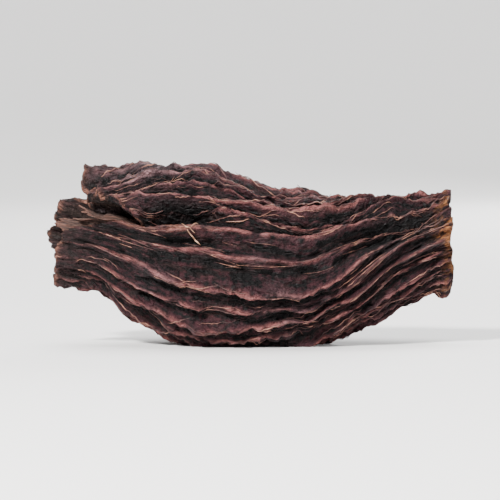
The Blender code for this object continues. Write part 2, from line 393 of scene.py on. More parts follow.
# %% Skin radius
LUMP_HEIGHT, KNOB_HEIGHT = 0.75, 0.35
CRUMPLE_HEIGHT, CRUMPLE_STRETCH = 1.0, 0.4
PAPER_TO, HUSK_FROM = -0.9, -0.6
COLLAR_HEIGHT, COLLAR_AT, COLLAR_HALF_WIDTH = 0.45, 0.955, 0.045
FLARE_LINE, FLARE_HALF_WIDTH, FLARE_HEIGHT = 9.7, 1.9, 2.3
FLARE_FROM, FLARE_TO = -0.80, -0.42

# Noise on the skin: feature size in mm, seed
LUMP_GRAIN = (5.5, 41.0)
KNOB_GRAIN = (2.2, 57.0)
CRUMPLE_GRAIN = (3.0, 83.0)


def skin_radius(share, line, angle):
    """Distance of the skin from the middle line, in mm."""
    base = WIDEST_RADIUS * along(PROFILE, share)
    base = base * (1 + LOBE_SHARE * np.cos(LOBES * np.radians(angle - LOBE_TURN)))
    soft = LUMP_HEIGHT * grain(share, angle, *LUMP_GRAIN)
    soft = soft + KNOB_HEIGHT * grain(share, angle, *KNOB_GRAIN)
    crumple = CRUMPLE_HEIGHT * grain(share * CRUMPLE_STRETCH, angle, *CRUMPLE_GRAIN)
    papery = 1.0 - ease(PAPER_TO, HUSK_FROM, share)
    flare = FLARE_HEIGHT * near_line(line, FLARE_LINE, FLARE_HALF_WIDTH)
    flare = flare * (1.0 - ease(FLARE_FROM, FLARE_TO, share))
    collar = COLLAR_HEIGHT * np.exp(-(((share - COLLAR_AT) / COLLAR_HALF_WIDTH) ** 2))
    relief = rib_relief(share, line) + fine_relief(share, line)
    relief = relief - hollow_depth(share, line) - split_depth(share, line)
    return base + relief + collar + flare + soft * (1.0 - papery) + crumple * papery


def skin_at(share, line):
    """Angle and radius of the skin at places on rib lines."""
    angle = angle_at(share, line) + lean_of(share, line)
    return angle, skin_radius(share, line, angle)


def in_place(share, angle, radius):
    """Points of the pod in mm: x along it, y away from the front, z up."""
    turn = np.radians(angle)
    x = share * HALF_LENGTH
    y = along(MIDDLE_SWING, share) - radius * np.cos(turn) * along(SQUEEZE, share)
    z = along(MIDDLE_HEIGHT, share) + radius * np.sin(turn)
    return np.stack(np.broadcast_arrays(x, y, z), axis=-1)


middle = np.array([0.0])
print("skin radius at the belly's front:", skin_at(middle, middle)[1].round(2), "mm")

# %% [markdown]
# ## The torn mouth and the scar
#
# The flower left a torn papery tube, and the stalk a ragged scar. Their edges could be cut with a
# Boolean, but a torn edge is where a sheet ends, so the sheet is made to end there. A table says
# how far each flap and notch of the mouth reaches, place by place round the pod, and noise of two
# sizes tears and frays it. The edge of the scar is broken by one noise alone.

# %% Torn and broken edges
TORN_EDGE = (
    # rib line, share along
    (0.2, -0.82),
    (1.0, -0.66),
    (1.6, -0.51),
    (2.4, -0.61),
    (4.0, -0.71),
    (5.5, -0.78),
    (9.5, -0.82),
    (11.0, -0.76),
    (12.0, -0.92),
    (14.0, -1.00),
    (16.5, -0.97),
    (18.5, -0.86),
    (19.5, -0.79),
    (21.0, -0.90),
    (24.5, -0.96),
    (28.2, -0.95),
)
TEAR_LENGTH, TEAR_GRAIN = 0.9, (2.4, 95.0)
FRAY_LENGTH, FRAY_GRAIN = 0.7, (0.5, 31.0)
BREAK_LENGTH, BREAK_GRAIN = 0.9, (2.0, 71.0)


def mouth_rim(line):
    """Where the torn edge of the mouth is on each rib line, as a share along the pod."""
    lines, shares = zip(*TORN_EDGE)
    edge = np.interp(line, lines, shares, period=RIB_COUNT)
    angle = angle_at(edge, line)
    tear = TEAR_LENGTH * grain(0.0, angle, *TEAR_GRAIN)
    fray = FRAY_LENGTH * np.abs(grain(0.0, angle, *FRAY_GRAIN))
    return np.maximum(edge + (tear + fray) / HALF_LENGTH, -1.0)


def scar_rim(line):
    """Where the broken edge of the stalk scar is on each rib line, as a share along the pod."""
    at = np.ones_like(line)
    ragged = 0.5 + 0.5 * grain(at, angle_at(at, line), *BREAK_GRAIN)
    return at - BREAK_LENGTH / HALF_LENGTH * ragged


torn_edge = mouth_rim(np.arange(0.0, RIB_COUNT, 0.25))
print("the torn edge lies between shares", torn_edge.min().round(2), "and", torn_edge.max().round(2))

# %% [markdown]
# ## The husk as one grid
#
# Columns of points run along the rib lines, and rings cross them: first the mouth's inner wall
# from its floor to the torn edge, then the whole outside, then the dish of the scar. Three
# meshes would be simpler, but would show a seam where they meet. Inside the mouth the tube
# narrows to a dark floor, and the face of the scar is rough with the stumps of fibres.

# %% Rings of the husk
MOUTH_RINGS, BODY_RINGS, SCAR_RINGS = 22, 170, 18
MOUTH_WALL, MOUTH_FLOOR = 0.25, -0.44
MOUTH_TAPER, MOUTH_NARROWEST = 0.62, 0.3
SCAR_DEPTH, SCAR_SLOPE, SCAR_LIP = 1.6, 0.6, 0.25
STUMP_SIZE, STUMP_DEPTH = 0.9, 1.1
COARSE_STUMPS, COARSE_SEED = 0.7, 7.0
FINE_STUMPS, FINE_SEED, FINER_BY = 0.3, 12.0, 2.3


def mouth_wall(line, rim):
    """Shares, angles and radii inside the mouth, from its floor out to the torn edge."""
    inward = np.linspace(1.0, 0.0, MOUTH_RINGS)[:, None]
    share = rim + (MOUTH_FLOOR - rim) * inward
    angle, skin = skin_at(share, line + 0.0 * share)
    turn = np.radians(angle)
    wall = MOUTH_WALL * np.hypot(np.cos(turn) / along(SQUEEZE, share), np.sin(turn))
    radius = np.maximum((skin - wall) * (1.0 - MOUTH_TAPER * inward), MOUTH_NARROWEST)
    return share, angle, radius


def outside(line, rim, end):
    """Shares, angles and radii of the outside, from the torn edge to the edge of the scar."""
    t = np.linspace(0.0, 1.0, BODY_RINGS)[:, None]
    share = rim + (end - rim) * t
    return share, *skin_at(share, line + 0.0 * share)


def scar_dish(end, angle, radius):
    """Shares, angles and radii of the scar, inwards from its edge: a shallow dish, rough inside."""
    dish = np.linspace(0.0, 1.0, SCAR_RINGS + 2)[1:-1, None]
    slope = ease(0.0, SCAR_SLOPE, dish)
    share = end + (1.0 - SCAR_DEPTH / HALF_LENGTH - end) * slope
    angle = np.repeat(angle, SCAR_RINGS, axis=0)
    radius = (radius + (STALK_RADIUS - radius) * slope) * (1.0 - dish)
    across = radius * np.cos(np.radians(angle)) / STUMP_SIZE
    up = radius * np.sin(np.radians(angle)) / STUMP_SIZE
    stumps = COARSE_STUMPS * np.abs(waves(across, up, COARSE_SEED))
    stumps = stumps + FINE_STUMPS * waves(FINER_BY * across, FINER_BY * up, FINE_SEED)
    share = share - STUMP_DEPTH / HALF_LENGTH * stumps * ease(0.0, SCAR_LIP, dish)
    return share, angle, radius


print("rings:", MOUTH_RINGS, "in the mouth,", BODY_RINGS, "outside,", SCAR_RINGS, "in the scar")

# %% [markdown]
# ## The points of the husk
#
# The three sets of rings share their columns, so they join into one grid. With sixteen columns to
# a rib, each crest stays sharp. A Subdivision modifier could smooth a coarser grid, but would
# round off the very fibres that it is meant to show. The seam between the last column and the
# first lies underneath, where nobody looks.

# %% Points of the husk
COLUMNS_PER_RIB = 16
SEAM_LINE = 22.5


def husk_grid():
    """Points, shares along, radii and rib lines of the husk, each as rings by columns."""
    columns = COLUMNS_PER_RIB * RIB_COUNT
    line = (SEAM_LINE + np.arange(columns) / COLUMNS_PER_RIB)[None, :] % RIB_COUNT
    rim, end = mouth_rim(line), scar_rim(line)
    inner_rings = mouth_wall(line, rim)
    outer_rings = outside(line, rim, end)
    _, last_angle, last_radius = (values[-1:] for values in outer_rings)
    scar_rings = scar_dish(end, last_angle, last_radius)
    share, angle, radius = (np.concatenate(parts) for parts in zip(inner_rings, outer_rings, scar_rings))
    return in_place(share, angle, radius), share, radius, line + 0.0 * share


husk_points, husk_share, husk_radius, husk_line = husk_grid()
print("husk grid:", husk_points.shape[0], "rings by", husk_points.shape[1], "columns")

# %% [markdown]
# ## Set down in the frame's place
#
# The pod rests on a small flat spot. It could be moved by hand until it fits. Instead the grid is
# moved so that its box meets the frame's box, and then whatever would go through the ground is
# pressed flat onto it.

# %% Into the frame's place
def set_down(points):
    """The points moved into the frame's box, in mm, the underside pressed flat on z = 0."""
    low, high = (np.array(corner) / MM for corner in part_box("cardamom_pod"))
    flat = points.reshape(-1, 3)
    shift = (low + high) / 2 - (flat.min(axis=0) + flat.max(axis=0)) / 2
    shift[2] = high[2] - flat[:, 2].max()
    moved = points + shift
    moved[..., 2] = np.maximum(moved[..., 2], 0.0)
    return moved, shift


husk_placed, HUSK_SHIFT = set_down(husk_points)
grounded = int((husk_placed[..., 2] == 0.0).sum())
print("moved by", HUSK_SHIFT.round(2), "mm; points on the ground:", grounded)

# %% [markdown]
# ## Attributes: hills and crests
#
# Colour on the husk follows its shape: crests are rubbed pale, and valleys get painted shade, nearly black.
# It could be painted on by hand, but would slide off the ribs with the next change of shape. So
# the mesh carries what the finish needs to know in attributes, one number for each point, which
# the material reads. How far a point stands over the skin round it is its radius less the average
# radius nearby.

# %% Hills, fibres and ridges
HILL_REACH, HILL_DEPTH = (8, 14), 1.0
FIBRE_REACH, FIBRE_DEPTH = (1, 2), 0.10
CREST_REACH, CREST_DEPTH, CREST_SLOPE = (2, 3), 0.20, (0.10, 0.45)
RIDGE_SLOPE, RIDGE_GAIN = (0.72, 0.93), 1.6


def blurred(values, rings, columns):
    """The values averaged over a patch of the grid, the columns going round the pod."""
    total = sum(np.roll(values, step, axis=1) for step in range(-columns, columns + 1))
    across = total / (2 * columns + 1)
    padded = np.pad(across, ((rings, rings), (0, 0)), mode="edge")
    return sum(padded[step:step + len(values)] for step in range(2 * rings + 1)) / (2 * rings + 1)


def stands_over(reach, depth):
    """How far each point stands over the skin within reach (rings, columns), in units of depth mm."""
    return (husk_radius - blurred(husk_radius, *reach)) / depth


def describe(**numbers):
    """Print how each attribute is spread over the points of the husk."""
    for title, values in numbers.items():
        print(title, "mean", values.mean().round(3), "full", (values > 0.9).mean().round(3))


# How far a point stands over its neighbours: the tone reads it to paint shade, near black, into the
# valleys.
hill = np.clip(0.5 + stands_over(HILL_REACH, HILL_DEPTH), 0.0, 1.0)
fibre = np.clip(0.5 + stands_over(FIBRE_REACH, FIBRE_DEPTH), 0.0, 1.0)
fibre_crest = ease(*CREST_SLOPE, stands_over(CREST_REACH, CREST_DEPTH))
ridge = ease(*RIDGE_SLOPE, np.sqrt(flank_of(husk_share, husk_line)))
ridge = ridge * np.clip(RIDGE_GAIN * rib_relief(husk_share, husk_line), 0.0, 1.0)
describe(hill=hill, fibre=fibre, fibre_crest=fibre_crest, ridge=ridge)

# %% [markdown]
# ## Attributes: torn edges
#
# Only the skin of the husk is dark, so a torn edge shows the tan fibre under it. That is so round
# the mouth, on the lower lip of the long split, and on the edge of the scar, with a rusty patch
# in front of it. A mask could be drawn for each. Here each is a number that fades with the
# distance from its edge, in mm, at the scar both outwards and down into its dish.

# %% Torn edges
TORN_FADE, LINING_FADE = 0.14, 0.8
STALK_TAN, STALK_TAN_MORE, STALK_TAN_PLACE = 0.40, 0.5, (28.0, 2.2)
RUST_LINE, RUST_HALF_WIDTH, RUST_LENGTH, RUST_EDGE = 26.7, 1.8, 1.3, (0.75, 1.05)
LOWER_LIP_PLACE, LOWER_LIP_RISE, LOWER_LIP_FALL = (1.05, 0.16), (-0.72, -0.56), (-0.45, -0.10)

past_rim = (husk_share - mouth_rim(husk_line[:1])) * HALF_LENGTH
before_scar = (scar_rim(husk_line[:1]) - husk_share) * HALF_LENGTH
before_scar = np.maximum(before_scar, 0.0)
is_inner = np.arange(len(husk_share))[:, None] < MOUTH_RINGS

inner = np.where(is_inner, 1.0, 0.0) * (1.0 - np.exp(-past_rim / LINING_FADE))
scar_fade = STALK_TAN + STALK_TAN_MORE * near_line(husk_line, *STALK_TAN_PLACE)
torn = np.maximum(np.exp(-past_rim / TORN_FADE), np.exp(-before_scar / scar_fade))
lower_lip = window(husk_share, LOWER_LIP_RISE, LOWER_LIP_FALL) * near_line(husk_line, *LOWER_LIP_PLACE)
torn = np.maximum(torn, np.where(is_inner, 0.0, lower_lip))
rust = np.abs(ribs_between(husk_line, RUST_LINE)) / RUST_HALF_WIDTH
rust = 1.0 - ease(*RUST_EDGE, rust + before_scar / RUST_LENGTH)
describe(torn=torn, rust=rust, inner=inner)

# %% [markdown]
# ## Attributes: painted shade, pale and grey places
#
# Shade is painted into the splits and hollows, and a painted shadow lies under the long split's
# upper lip, where the face is lit. That lip itself and the crests above the scar are rubbed palest,
# and a patch by the stalk is made darker. The thin end by the mouth and one patch behind it have
# gone grey. These could be brushed on as vertex colours. As places and reaches they move with the
# ribs, because they are given in rib lines.

# %% Painted shade, pale and grey places
# How much painted shade the hollows and the splits give, by their depth
SUNKEN_SHADE_BY_HOLLOW, SUNKEN_SHADE_BY_SPLIT = 0.40, 0.30
# Where painted shade goes into the gaps, and where the painted shadow lies under the long split's upper lip
SHADE_IN_SPLIT, SHADE_IN_HOLLOW, SHADE_BY_HOLLOW = (0.7, 2.2), (0.6, 1.9), 0.8
SHADOW_UNDER_LIP_LINES = ((1.15, 1.5), (2.5, 2.85))
SHADOW_UNDER_LIP_SHARES = ((-0.54, -0.46), (-0.32, -0.18))
UPPER_LIP_PLACE, UPPER_LIP_SHARES = (3.0, 0.4), ((-0.66, -0.56), (0.25, 0.50))
FADED_END, STALK_END = (-0.92, -0.66), (0.5, 0.8)
BY_STALK_DARK, BY_STALK_PALE = 0.85, 1.6

# Patches: share along, rib line, half length as a share, half width in ribs
DARK_PATCH = (0.81, 28.5, 0.11, 1.5)
PALE_PATCH = (0.80, 2.0, 0.12, 1.0)
GREY_PATCH = (-0.50, 7.0, 0.20, 3.0)


def patch_at(at, middle, half_length, half_width):
    """1 at a place on the husk, falling off smoothly within a reach along and round it."""
    lengthways = (husk_share - at) / half_length
    sideways = ribs_between(husk_line, middle) / half_width
    return np.exp(-(lengthways**2) - sideways**2)


hollow = hollow_depth(husk_share, husk_line)
split = split_depth(husk_share, husk_line)
# Painted shade: the deeper a split or hollow, the darker the tone there.
sunken = np.clip(SUNKEN_SHADE_BY_HOLLOW * hollow + SUNKEN_SHADE_BY_SPLIT * split, 0.0, 1.0)
# A painted shadow under the long split's upper lip: that face is lit, and is painted near black.
shadow_under_lip = window(husk_line, *SHADOW_UNDER_LIP_LINES) * window(husk_share, *SHADOW_UNDER_LIP_SHARES)
# Painted shade in the deeper splits and hollows and under the lip, with a darker patch by the stalk,
# outside the mouth only.
gap = ease(*SHADE_IN_SPLIT, split) + SHADE_BY_HOLLOW * ease(*SHADE_IN_HOLLOW, hollow)
gap = np.clip(gap + shadow_under_lip + BY_STALK_DARK * patch_at(*DARK_PATCH), 0.0, 1.0)
gap = np.where(is_inner, 0.0, gap)
upper_lip = near_line(husk_line, *UPPER_LIP_PLACE) * window(husk_share, *UPPER_LIP_SHARES)
upper_lip = upper_lip + BY_STALK_PALE * patch_at(*PALE_PATCH)
ashen = patch_at(*GREY_PATCH)
papery = 1.0 - ease(*FADED_END, husk_share)
stalk_end = ease(*STALK_END, husk_share)
describe(sunken=sunken, gap=gap, upper_lip=upper_lip, ashen=ashen, papery=papery)

# %% [markdown]
# ## A mesh from a grid
#
# A grid that closes on itself is quickest to build straight from its numbers. Its two ends can
# close with a fan to one point each. The map for textures is the grid itself, unrolled: across it
# runs round the pod and up it runs along the ribs, so a stretched noise becomes fibres that follow
# them. Unwrapping by hand would need seams, and would turn the fibres every way.

# %% Mesh helpers
def grid_mesh(name, points, wrap, caps, numbers):
    """A mesh of a grid of points in mm, with an unrolled map and one attribute for each of numbers."""
    rings, columns = points.shape[:2]
    spots = points.reshape(-1, 3)
    faces, corners = [], []
    last = columns if wrap else columns - 1
    for ring in range(rings - 1):
        low, high = ring / (rings - 1), (ring + 1) / (rings - 1)
        for column in range(last):
            after = (column + 1) % columns
            a, b = ring * columns, (ring + 1) * columns
            faces.append((a + column, a + after, b + after, b + column))
            left, right = column / last, (column + 1) / last
            corners += ((left, low), (right, low), (right, high), (left, high))
    if caps:
        ends = np.stack((points[0].mean(axis=0), points[-1].mean(axis=0)))
        spots = np.concatenate((spots, ends))
        for column in range(columns):
            after = (column + 1) % columns
            left, right = column / columns, (column + 1) / columns
            faces.append((rings * columns, after, column))
            corners += ((left, 0.0), (right, 0.0), (left, 0.0))
            top = (rings - 1) * columns
            faces.append((rings * columns + 1, top + column, top + after))
            corners += ((left, 1.0), (left, 1.0), (right, 1.0))
    mesh = bpy.data.meshes.new(name)
    mesh.from_pydata((spots * MM).tolist(), [], faces)
    unrolled = np.array(corners, dtype=np.float32).ravel()
    mesh.uv_layers.new(name="OFBake").uv.foreach_set("vector", unrolled)
    for title, values in numbers.items():
        flat = np.asarray(values, dtype=np.float32).ravel()
        flat = np.concatenate((flat, np.zeros(len(spots) - len(flat), dtype=np.float32)))
        mesh.attributes.new(title, "FLOAT", "POINT").data.foreach_set("value", flat)
    mesh.shade_smooth()
    return mesh


def new_object(name, data):
    """A new object of some data, put into the scene."""
    thing = bpy.data.objects.new(name, data)
    bpy.context.scene.collection.objects.link(thing)
    return thing


print("faces in the husk's grid:", (husk_points.shape[0] - 1) * husk_points.shape[1])

# %% [markdown]
# ## The husk
#
# The husk is one skin from the mouth's floor to the middle of the scar. It takes the place of the
# plain solid in the picture, and rides on the pod's only body.

# %% Build the husk
husk_numbers = {
    "hill": hill, "ridge": ridge, "fibre": fibre, "fibre_crest": fibre_crest,
    "torn": torn, "rust": rust, "inner": inner, "sunken": sunken, "gap": gap,
    "upper_lip": upper_lip, "ashen": ashen, "papery": papery, "stalk_end": stalk_end,
}
husk = new_object("husk", grid_mesh("husk", husk_placed, wrap=True, caps=True, numbers=husk_numbers))
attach(husk, "root")
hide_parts("cardamom_pod")
print("husk:", len(husk.data.polygons), "faces and", len(husk_numbers), "attributes")

# %% [markdown]
# ## Helpers for materials
#
# A material is a web of nodes: a noise, some arithmetic, a mix of two colours. It could be wired
# by hand in the Shader Editor. In a script each node takes four or five lines, so these helpers
# make one in a single call, which keeps the finishes below short enough to read.

# %% Nodes in one call
def new_material(name):
    """A material with nodes, and its Principled shader."""
    material = bpy.data.materials.new(name)
    material.use_nodes = True
    return material, material.node_tree.nodes["Principled BSDF"]


def add(tree, kind, inputs=(), **settings):
    """A node of a kind, its settings made and its inputs given as values or as sockets to link."""
    node = tree.nodes.new("ShaderNode" + kind)
    for key, value in settings.items():
        setattr(node, key, value)
    for key, value in dict(inputs).items():
        if isinstance(value, bpy.types.NodeSocket):
            tree.links.new(value, node.inputs[key])
        else:
            node.inputs[key].default_value = value
    return node


def ramp(tree, factor, stops):
    """A colour ramp: stops are (position, colour)."""
    node = add(tree, "ValToRGB", {"Fac": factor})
    elements = node.color_ramp.elements
    while len(elements) < len(stops):
        elements.new(0.5)
    for element, (position, colour) in zip(elements, stops):
        element.position = position
        element.color = (*colour, 1.0)
    return node.outputs["Color"]


def opaque(colour):
    """A colour with the fourth number that a socket asks for, or a socket as it is."""
    return colour if isinstance(colour, bpy.types.NodeSocket) else (*colour, 1.0)


def mixed(tree, factor, first, second, way="MIX"):
    """Two colours mixed, or blended in another way, by a factor."""
    inputs = {0: factor, 6: opaque(first), 7: opaque(second)}
    return add(tree, "Mix", inputs, data_type="RGBA", blend_type=way).outputs[2]


print("ways to mix colours:", len(bpy.types.ShaderNodeMix.bl_rna.properties["blend_type"].enum_items))

# %% [markdown]
# ## Arithmetic between nodes
#
# A shader has no plus sign: each step of a sum is a node of its own. Named steps keep the sums
# readable. One more helper stretches a noise, which by itself hardly leaves its middle value, and
# the last links a colour and a bump to the shader.

# %% Sums in nodes
def maths(tree, way, first, second=0.0, third=0.0, clamp=False):
    """One step of arithmetic on numbers or sockets."""
    return add(tree, "Math", {0: first, 1: second, 2: third}, operation=way, use_clamp=clamp).outputs[0]


def times(tree, first, second, clamp=False):
    """The product of two numbers or sockets."""
    return maths(tree, "MULTIPLY", first, second, clamp=clamp)


def plus(tree, first, second, clamp=False):
    """The sum of two numbers or sockets."""
    return maths(tree, "ADD", first, second, clamp=clamp)


def minus(tree, first, second, clamp=False):
    """What is left of the first after the second."""
    return maths(tree, "SUBTRACT", first, second, clamp=clamp)


def spread(tree, value, low=0.0, high=1.0, least=0.0, most=1.0):
    """A value that runs from low to high, stretched to run from least to most and held there."""
    return add(tree, "MapRange", {"Value": value, 1: low, 2: high, 3: least, 4: most}).outputs[0]


def finish_surface(tree, shader, colour, height, strength, depth):
    """Colour and bump, in mm, linked to the shader."""
    tree.links.new(colour, shader.inputs["Base Color"])
    bump = add(tree, "Bump", {"Height": height, "Strength": strength, "Distance": depth * MM})
    tree.links.new(bump.outputs["Normal"], shader.inputs["Normal"])


print("kinds of arithmetic:", len(bpy.types.ShaderNodeMath.bl_rna.properties["operation"].enum_items))

# %% [markdown]
# ## Noises that follow the ribs
#
# The skin has streaks and thin strands that run along the ribs, and patches that don't. A photo
# texture would bring the light of its own day with it. Noise stretched on the unrolled map gives
# the streaks, and noise in the pod's own space gives the patches.

# %% Streaks, strands and patches
STREAK_RANGE = (0.32, 0.68)
STRAND_DETAIL = 1.5


def streaks(tree, around, lengthways, detail=3.0, roughness=0.6):
    """Noise on the unrolled map: so many features round the pod, and so many along it."""
    unrolled = add(tree, "UVMap", uv_map="OFBake").outputs["UV"]
    stretched = add(tree, "Mapping", {"Vector": unrolled, "Scale": (around, lengthways, 1.0)})
    inputs = {"Vector": stretched.outputs["Vector"], "Scale": 1.0, "Detail": detail, "Roughness": roughness}
    return spread(tree, add(tree, "TexNoise", inputs, noise_dimensions="2D").outputs[0], *STREAK_RANGE)


def strands(tree, around, lengthways, sharpness):
    """Thin lines along the ribs: where stretched noise passes its middle value."""
    off_middle = minus(tree, streaks(tree, around, lengthways, detail=STRAND_DETAIL), 0.5)
    off_line = maths(tree, "ABSOLUTE", off_middle)
    return minus(tree, 1.0, times(tree, off_line, sharpness), clamp=True)


def patches(tree, size, detail=2.0, shift=0.0):
    """Noise in the object's own space, its patches size mm across."""
    place = add(tree, "TexCoord").outputs["Object"]
    moved = add(tree, "Mapping", {"Vector": place, "Location": (shift, 0.0, 0.0)})
    inputs = {"Vector": moved.outputs["Vector"], "Scale": 1.0 / (size * MM), "Detail": detail}
    return add(tree, "TexNoise", inputs, noise_dimensions="3D").outputs[0]


def from_mesh(tree, title):
    """A number that the mesh carries for each point."""
    return add(tree, "Attribute", attribute_name=title).outputs["Fac"]


print("a streak's noise is stretched from", STREAK_RANGE[0], "to", STREAK_RANGE[1])

# %% [markdown]
# ## Colours and layers of the husk
#
# The husk is matt and dry: reddish brown on the slopes and a dusty pink where the crests are
# rubbed, with painted shade, near black, in the grooves. One colour would look like plastic, so a
# colour ramp is read by a tone, a mix of the shape's own attributes and of noise layers. The layers
# are made once, and colour, gloss and bump all read the same ones, so a pale streak is also a raised one.

# %% Layers and tone
# The two darkest colours are painted shade for the grooves and the sunken places.
GROOVE_SHADE = (0.0010, 0.0006, 0.0009)
SHADOW = (0.0080, 0.0022, 0.0031)
BODY = (0.0158, 0.0040, 0.0059)
WARM = (0.0295, 0.0077, 0.0107)
TONE_STOPS = ((0.16, GROOVE_SHADE), (0.30, SHADOW), (0.50, BODY), (0.80, WARM))
TONE_RISE, TONE_BASE, SUNKEN_SHADE_TONE = 0.50, 0.16, 0.34
STREAKS = {"coarse": (75.0, 6.0), "medium": (150.0, 26.0), "fine": (330.0, 90.0)}
STRANDS = {"long strands": (58.0, 4.5, 5.0), "short strands": (140.0, 17.0, 3.5)}
BLOTCH_SIZE, BLOTCH_DETAIL = 2.2, 4.0
PATCHES = {
    # size in mm, detail, shift in m, the noise values that become 0 and 1
    "grainy": (0.42, 2.0, 0.0, 0.35, 0.65),
    "grey": (5.0, 2.0, 0.031, 0.52, 0.66),
    "speck": (0.45, 4.0, 0.029, 0.40, 0.62),
    "patchy": (1.3, 2.0, 0.017, 0.42, 0.56),
}
TONE_WEIGHTS = {
    "fibre": 0.40, "coarse": 0.20, "medium": 0.40, "fine": 0.42,
    "grainy": 0.36, "blotch": 0.40, "short strands": 0.30,
}


def husk_layers(tree):
    """The attributes and noises that the husk's finish reads, by name."""
    layers = {title: from_mesh(tree, title) for title in husk_numbers}
    for title, counts in STREAKS.items():
        layers[title] = streaks(tree, *counts)
    for title, counts in STRANDS.items():
        layers[title] = strands(tree, *counts)
    for title, (size, detail, shift, low, high) in PATCHES.items():
        layers[title] = spread(tree, patches(tree, size, detail, shift), low, high)
    layers["blotch"] = patches(tree, BLOTCH_SIZE, BLOTCH_DETAIL)
    return layers


def shaded_tone_colour(tree, layers):
    """The husk's colour, from painted shade in its grooves and sunken places to its warm slopes."""
    tone = maths(tree, "MULTIPLY_ADD", layers["hill"], TONE_RISE, TONE_BASE)
    for title, weight in TONE_WEIGHTS.items():
        tone = plus(tree, tone, maths(tree, "MULTIPLY_ADD", layers[title], weight, -0.5 * weight))
    # Painted shade: the sunken places are made darker.
    return ramp(tree, minus(tree, tone, times(tree, layers["sunken"], SUNKEN_SHADE_TONE)), TONE_STOPS)


noise_count = len(STREAKS) + len(STRANDS) + len(PATCHES) + 1
print(noise_count, "noise layers;", len(TONE_WEIGHTS), "layers make the tone")

# %% [markdown]
# ## Wear and painted shade on the husk
#
# Rubbing takes the dark bloom off the crests, in blotches rather than evenly. Gaps are painted
# black as shade, and some patches have gone grey, which changes their colour and leaves their light
# and dark alone. One mix for all of these would be hard to tune, so each is a mix of its own over the last.

# %% Rubbed, painted shade and grey
RUBBED = (0.205, 0.072, 0.067)
GREYED = (0.034, 0.026, 0.029)
PAPER = (0.026, 0.0175, 0.0165)
BLOTCH_WEAR, UNWORN, LIP_WEAR = 1.3, 0.62, 0.55
CREST_GAIN, CREST_BASE, STRAND_WEAR = 1.2, 0.22, 0.10
GAP_SHADE_STRENGTH, GREY_STRENGTH, ASHEN_STRENGTH, PAPER_STRENGTH = 0.88, 0.30, 0.75, 0.45


def with_wear_and_shade(tree, colour, layers):
    """The colour with rubbed crests, painted shade in the gaps, grey patches and a faded papery end."""
    worn = plus(tree, layers["medium"], times(tree, layers["blotch"], BLOTCH_WEAR))
    worn = minus(tree, worn, UNWORN, clamp=True)
    worn = plus(tree, worn, times(tree, layers["upper_lip"], LIP_WEAR), clamp=True)
    high = maths(tree, "MULTIPLY_ADD", layers["fibre_crest"], CREST_GAIN, CREST_BASE)
    high = times(tree, high, layers["ridge"])
    high = plus(tree, high, times(tree, layers["long strands"], STRAND_WEAR))
    colour = mixed(tree, times(tree, high, worn, clamp=True), colour, RUBBED)
    # Painted shade: the gaps are mixed towards near black.
    colour = mixed(tree, times(tree, layers["gap"], GAP_SHADE_STRENGTH), colour, GROOVE_SHADE)
    ashes = times(tree, layers["ashen"], ASHEN_STRENGTH)
    grey = plus(tree, times(tree, layers["grey"], GREY_STRENGTH), ashes, clamp=True)
    colour = mixed(tree, grey, colour, mixed(tree, 1.0, colour, GREYED, "COLOR"))
    return mixed(tree, times(tree, layers["papery"], PAPER_STRENGTH), colour, PAPER)


print("crests are rubbed to", RUBBED)

# %% [markdown]
# ## Lining and torn edges
#
# Inside the mouth the husk is a dull brown with paler folds. Where it is torn the fibre is tan, in
# streaks at the mouth, as it tore along the fibres there, and in specks at the scar, where it
# broke across them. Separate materials would need separate faces with a hard line between them,
# so one material blends between all of these.

# %% Lining and torn edges
TORN_TAN = (0.215, 0.090, 0.062)
SCAR_TAN = (0.34, 0.135, 0.048)
LINING_BROWN = (0.042, 0.026, 0.021)
RUST = (0.38, 0.145, 0.052)
FOLD_FROM, FOLD_STRENGTH = 0.35, 0.7
STREAK_BASE, RUST_GAIN, RUST_BASE = 0.25, 0.90, 0.10


def with_lining(tree, colour, layers):
    """The colour with the lining of the mouth."""
    fold = times(tree, layers["ridge"], minus(tree, layers["medium"], FOLD_FROM), clamp=True)
    lining = mixed(tree, layers["medium"], SHADOW, LINING_BROWN)
    lining = mixed(tree, times(tree, fold, FOLD_STRENGTH), lining, TORN_TAN)
    return mixed(tree, layers["inner"], colour, lining)


def with_torn_edges(tree, colour, layers):
    """The colour with tan fibre along the torn edges, and the rusty patch before the scar."""
    at_stalk = layers["stalk_end"]
    streaky = times(tree, plus(tree, layers["medium"], STREAK_BASE), minus(tree, 1.0, at_stalk))
    streaky = plus(tree, streaky, times(tree, layers["speck"], at_stalk))
    torn_part = times(tree, layers["torn"], times(tree, layers["patchy"], streaky), clamp=True)
    colour = mixed(tree, torn_part, colour, mixed(tree, at_stalk, TORN_TAN, SCAR_TAN))
    flecked = maths(tree, "MULTIPLY_ADD", layers["speck"], RUST_GAIN, RUST_BASE)
    return mixed(tree, times(tree, layers["rust"], flecked, clamp=True), colour, RUST)


print("torn edges are", TORN_TAN, "at the mouth and", SCAR_TAN, "at the scar")

# %% [markdown]
# ## The husk's material
#
# All of this comes together in one Principled shader. The husk has a faint dull shine, duller
# where a streak is pale. The bump adds what is too fine for the mesh, from the same layers.

# %% Husk material
ROUGHNESS_RANGE, HUSK_SPECULAR = (0.50, 0.80), 0.22
BUMP_WEIGHTS = {"medium": 0.5, "fine": 0.45, "short strands": 0.35, "grainy": 0.45}
BUMP_STRENGTH, BUMP_DEPTH = 1.0, 0.40


